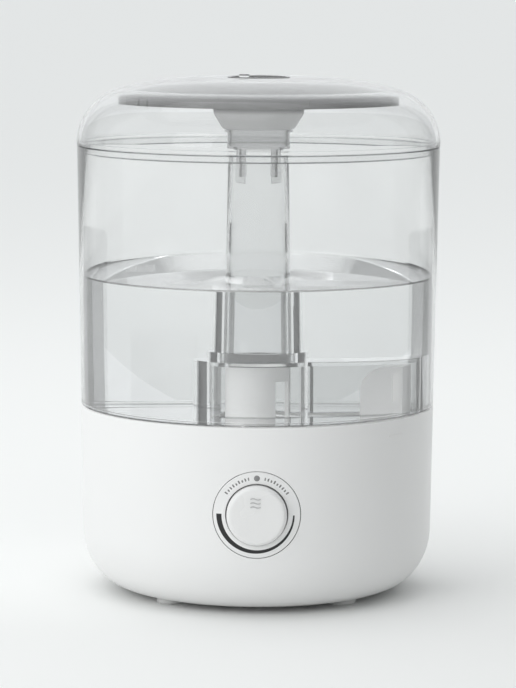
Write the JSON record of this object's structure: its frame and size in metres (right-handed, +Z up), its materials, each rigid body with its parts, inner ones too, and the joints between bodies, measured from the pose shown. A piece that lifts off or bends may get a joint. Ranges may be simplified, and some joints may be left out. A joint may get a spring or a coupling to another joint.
{
  "type": "cool mist humidifier",
  "caption": "Top-fill table humidifier: white round base with a front dial, clear lift-off tank with a central mist tube, and a clear domed lid over a grey funnel.",
  "frame": {"origin": "on the vertical axis at the ground, under the middle of the feet", "axes": "+Z up, the dial faces -Y, the air channel and the power inlet are on the +X side"},
  "size_m": [0.175, 0.1765, 0.2494],
  "materials": {
    "white_abs": "fine satin white ABS",
    "knob_white": "satin white ABS",
    "clear_tank": "clear polished plastic",
    "clear_lid": "clear polished plastic",
    "smoke_plate": "grey translucent plastic",
    "smoke_nozzle": "grey translucent plastic",
    "lens_grey": "frosted lens",
    "led_epoxy": "gloss",
    "white_rubber": "matte soft rubber",
    "seal_silicone": "silicone",
    "filter_foam": "open foam",
    "float_foam": "foamed plastic",
    "black_plastic": "matte black",
    "component_black": "matte black",
    "circuit_board": "green laminate",
    "copper_winding": "enamelled copper",
    "screw_steel": "zinc plated",
    "bright_steel": "ground",
    "disc_steel": "polished",
    "heat_aluminium": "plain extruded",
    "ferrite": "dark ferrite",
    "switch_glass": "clear",
    "lead_black": "PVC sleeve",
    "lead_red": "PVC sleeve",
    "lead_white": "PVC sleeve"
  },
  "bodies": {
    "base": {"base_housing": "white_abs", "bottom_cover": "white_abs", "cover_screws": "screw_steel", "rubber_feet": "white_rubber", "intake_filter": "filter_foam", "base_deck": "white_abs", "deck_seal": "seal_silicone", "deck_screws": "screw_steel", "mist_cowl": "white_abs", "air_tower": "white_abs", "air_duct": "white_abs", "fan_frame": "black_plastic", "fan_stator": "copper_winding", "fan_screws": "screw_steel", "transducer_disc": "disc_steel", "transducer_seal": "seal_silicone", "transducer_clamp": "heat_aluminium", "clamp_screws": "screw_steel", "drive_board": "circuit_board", "heat_sink": "heat_aluminium", "board_parts": "component_black", "board_screws": "screw_steel", "dial_plate": "white_abs", "led_lens": "lens_grey", "indicator_led": "led_epoxy", "pot_body": "component_black", "pot_nut": "bright_steel", "control_board": "circuit_board", "control_screws": "screw_steel", "dc_inlet": "component_black", "inlet_pin": "bright_steel", "float_guide": "white_abs", "float_clip": "white_abs", "reed_switch": "switch_glass", "inlet_lead": "lead_black", "fan_lead": "lead_red", "transducer_lead": "lead_white", "control_lead": "lead_white"},
    "tank": {"tank_shell": "clear_tank", "tank_floor": "clear_tank", "mist_tube": "clear_tank", "valve_cap": "white_abs", "valve_cap_seal": "seal_silicone", "valve_cage": "white_abs", "valve_spring": "bright_steel"},
    "lid": {"lid_dome": "clear_lid", "lid_plate": "smoke_plate", "lid_nozzle": "smoke_nozzle"},
    "knob": {"knob_cap": "knob_white", "pot_shaft": "bright_steel"},
    "fan_rotor": {"fan_impeller": "black_plastic", "fan_shaft": "bright_steel", "rotor_magnet": "ferrite"},
    "float": {"float_ring": "float_foam", "float_magnet": "ferrite"},
    "valve": {"valve_plunger": "white_abs", "plunger_seal": "seal_silicone"}
  },
  "joints": [
    {"name": "tank_lift", "type": "slide", "parent": "base", "child": "tank", "axis": [0, 0, 1], "range_m": [0, 0.06]},
    {"name": "lid_lift", "type": "slide", "parent": "tank", "child": "lid", "axis": [0, 0, 1], "range_m": [0, 0.06]},
    {"name": "knob_turn", "type": "hinge", "parent": "base", "child": "knob", "pos_m": [0, -0.0854, 0.05], "axis": [0, 1, 0], "range_deg": [0, 270]},
    {"name": "fan_spin", "type": "hinge", "parent": "base", "child": "fan_rotor", "pos_m": [0.042, 0, 0.0477], "axis": [0, 0, 1], "continuous": true},
    {"name": "float_rise", "type": "slide", "parent": "base", "child": "float", "axis": [0, 0, 1], "range_m": [0, 0.0045]},
    {"name": "valve_close", "type": "slide", "parent": "tank", "child": "valve", "axis": [0, 0, 1], "range_m": [-0.0037, 0], "stiffness_N_per_m": 80, "springref_m": -0.008, "deforming": ["valve_spring"]}
  ],
  "couplings": [
    {"joint": "valve_close", "follows": "tank_lift", "ratio": -0.061667}
  ]
}
